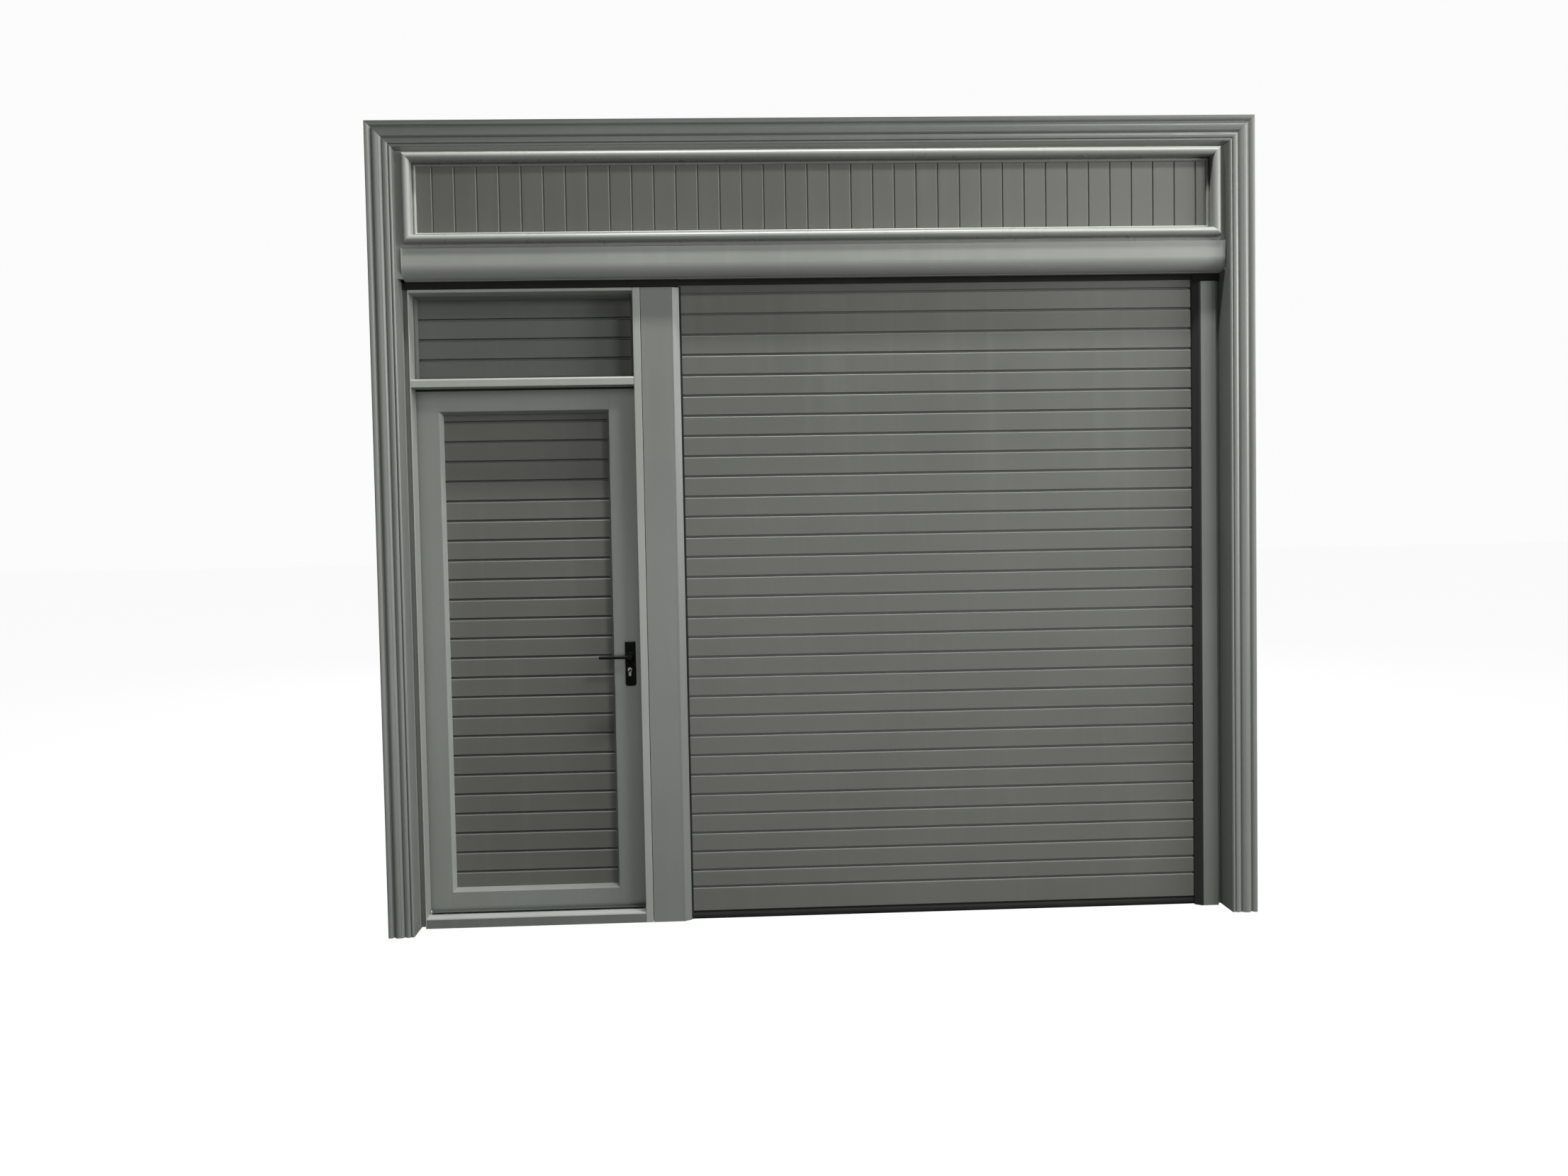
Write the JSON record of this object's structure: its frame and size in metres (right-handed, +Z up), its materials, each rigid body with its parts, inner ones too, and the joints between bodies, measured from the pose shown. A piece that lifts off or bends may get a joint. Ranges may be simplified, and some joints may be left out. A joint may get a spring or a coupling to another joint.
{
  "type": "roller shutter door set with pass door",
  "caption": "Grey roller shutter in a moulded casing with a boarded fascia, and beside it a hinged pass door with slatted panels and a lever handle.",
  "frame": {"origin": "centre of the mullion post's foot, on the floor", "axes": "+Z up, -Y towards the outside (the side in the picture), +X to the right seen from outside"},
  "size_m": [3.34, 0.4051, 3.054],
  "materials": {
    "powder_coat": "satin powder coat",
    "slat_coat": "satin baked coat",
    "rubber_seal": "matt",
    "handle_black": "satin black",
    "cylinder_metal": "satin nickel"
  },
  "bodies": {
    "frame": {"casing_left": "powder_coat", "casing_right": "powder_coat", "casing_head": "powder_coat", "fascia_panel": "powder_coat", "fascia_moulding_top": "powder_coat", "fascia_moulding_bottom": "powder_coat", "fascia_moulding_left": "powder_coat", "fascia_moulding_right": "powder_coat", "box_front": "powder_coat", "box_soffit": "powder_coat", "box_back": "powder_coat", "box_top": "powder_coat", "box_end_left": "powder_coat", "box_end_right": "powder_coat", "mullion_post": "powder_coat", "post_right": "powder_coat", "guide_rail_left": "powder_coat", "guide_rail_right": "powder_coat", "shutter_curtain": "slat_coat", "bottom_bar": "slat_coat", "bottom_seal": "rubber_seal", "jamb_left": "powder_coat", "jamb_right": "powder_coat", "door_head": "powder_coat", "transom_bar": "powder_coat", "door_sill": "powder_coat", "transom_panel": "slat_coat", "transom_beads": "powder_coat", "hinge_jamb": "powder_coat"},
    "door": {"leaf_stile_hinge": "powder_coat", "leaf_stile_lock": "powder_coat", "leaf_rail_top": "powder_coat", "leaf_rail_bottom": "powder_coat", "leaf_panel": "slat_coat", "leaf_beads": "powder_coat", "leaf_drip": "powder_coat", "hinge_leaf": "powder_coat", "backplate_outer": "handle_black", "backplate_inner": "handle_black", "lock_cylinder": "cylinder_metal"},
    "handle": {"lever_outer": "handle_black", "lever_inner": "handle_black"}
  },
  "joints": [
    {"name": "door_hinge", "type": "hinge", "parent": "frame", "child": "door", "pos_m": [-0.947, 0.08, 1.08], "axis": [0, 0, 1], "range_deg": [0, 100]},
    {"name": "lever_turn", "type": "hinge", "parent": "door", "child": "handle", "pos_m": [-0.131, 0.042, 1.031], "axis": [0, -1, 0], "range_deg": [0, 45], "stiffness_Nm_per_rad": 1.5, "springref_deg": -20.05}
  ]
}
